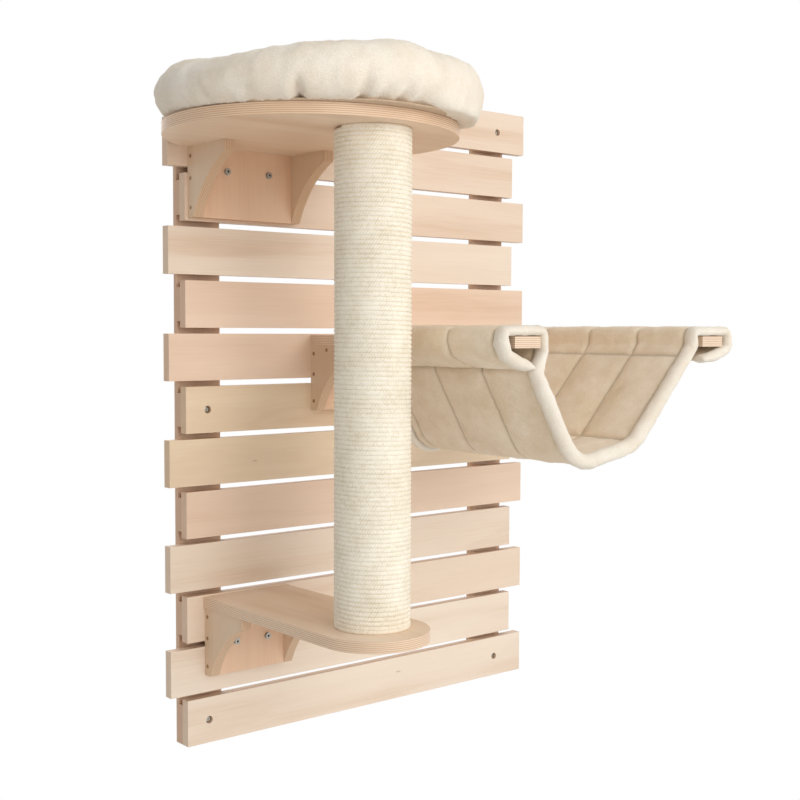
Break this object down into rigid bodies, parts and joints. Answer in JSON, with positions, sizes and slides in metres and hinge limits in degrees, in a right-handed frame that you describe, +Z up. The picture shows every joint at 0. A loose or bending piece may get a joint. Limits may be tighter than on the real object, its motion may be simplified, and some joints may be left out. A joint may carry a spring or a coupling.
{
  "type": "wall mounted cat tree",
  "caption": "Slatted wall panel of birch ply that carries a clamped perch, with a round platform, plush bed, rope post and shelf, and a fork frame with a quilted hammock.",
  "frame": {"origin": "middle of the panel on the wall plane, at the centre of the pattern of wall screws", "axes": "+X to the right along the slats, +Y into the wall, +Z up; the units stand out of the wall along -Y"},
  "size_m": [0.9501, 0.571, 1.16],
  "materials": {
    "slat_ply": "clear matt lacquer on birch ply",
    "upright_ply": "clear matt lacquer on birch ply",
    "bracket_ply": "clear matt lacquer on birch ply",
    "board_ply": "clear matt lacquer on birch ply",
    "beech_dowel": "plain turned beech",
    "tube_board": "spirally wound paper board tube",
    "zinc_steel": "bright zinc plating",
    "sisal_rope": "twisted natural sisal",
    "plush_cream": "short cream plush",
    "plush_beige": "short beige plush, quilted"
  },
  "bodies": {
    "panel": {"slat_01": "slat_ply", "slat_02": "slat_ply", "slat_03": "slat_ply", "slat_04": "slat_ply", "slat_05": "slat_ply", "slat_06": "slat_ply", "slat_07": "slat_ply", "slat_08": "slat_ply", "slat_09": "slat_ply", "slat_10": "slat_ply", "slat_11": "slat_ply", "slat_12": "slat_ply", "slat_13": "slat_ply", "slat_screws_left": "zinc_steel", "slat_screws_right": "zinc_steel", "upright_left": "upright_ply", "upright_right": "upright_ply"},
    "perch": {"platform": "board_ply", "platform_bracket_back": "bracket_ply", "platform_bracket_bolts": "zinc_steel", "platform_bracket_gusset_left": "bracket_ply", "platform_bracket_gusset_right": "bracket_ply", "platform_bracket_screws": "zinc_steel", "platform_bracket_washers": "zinc_steel", "platform_clamp_batten": "bracket_ply", "platform_clamp_inserts": "zinc_steel", "platform_dowels": "beech_dowel", "post_bolts": "zinc_steel", "post_plug_bottom": "board_ply", "post_plug_top": "board_ply", "post_rope": "sisal_rope", "post_tee_nuts": "zinc_steel", "post_tube": "tube_board", "shelf": "board_ply", "shelf_bracket_back": "bracket_ply", "shelf_bracket_bolts": "zinc_steel", "shelf_bracket_gusset_left": "bracket_ply", "shelf_bracket_gusset_right": "bracket_ply", "shelf_bracket_screws": "zinc_steel", "shelf_bracket_washers": "zinc_steel", "shelf_clamp_batten": "bracket_ply", "shelf_clamp_inserts": "zinc_steel", "shelf_dowels": "beech_dowel"},
    "hammock": {"hammock_bracket_back": "bracket_ply", "hammock_bracket_bolts": "zinc_steel", "hammock_bracket_gusset_left": "bracket_ply", "hammock_bracket_gusset_right": "bracket_ply", "hammock_bracket_screws": "zinc_steel", "hammock_bracket_washers": "zinc_steel", "hammock_clamp_batten": "bracket_ply", "hammock_clamp_inserts": "zinc_steel", "hammock_frame": "board_ply", "hammock_frame_dowels": "beech_dowel", "hammock_top_plate": "bracket_ply"},
    "bed": {"bed": "plush_cream"},
    "cover": {"hammock_cover": "plush_beige"}
  },
  "joints": [
    {"name": "perch_shift", "type": "slide", "parent": "panel", "child": "perch", "axis": [1, 0, 0], "range_m": [-0.05, 0.015]},
    {"name": "hammock_shift", "type": "slide", "parent": "panel", "child": "hammock", "axis": [1, 0, 0], "range_m": [-0.015, 0.08]},
    {"name": "bed_lift", "type": "slide", "parent": "perch", "child": "bed", "axis": [0, 0, 1], "range_m": [0, 0.2]},
    {"name": "cover_pull", "type": "slide", "parent": "hammock", "child": "cover", "axis": [0, -1, 0], "range_m": [0, 0.4]}
  ]
}
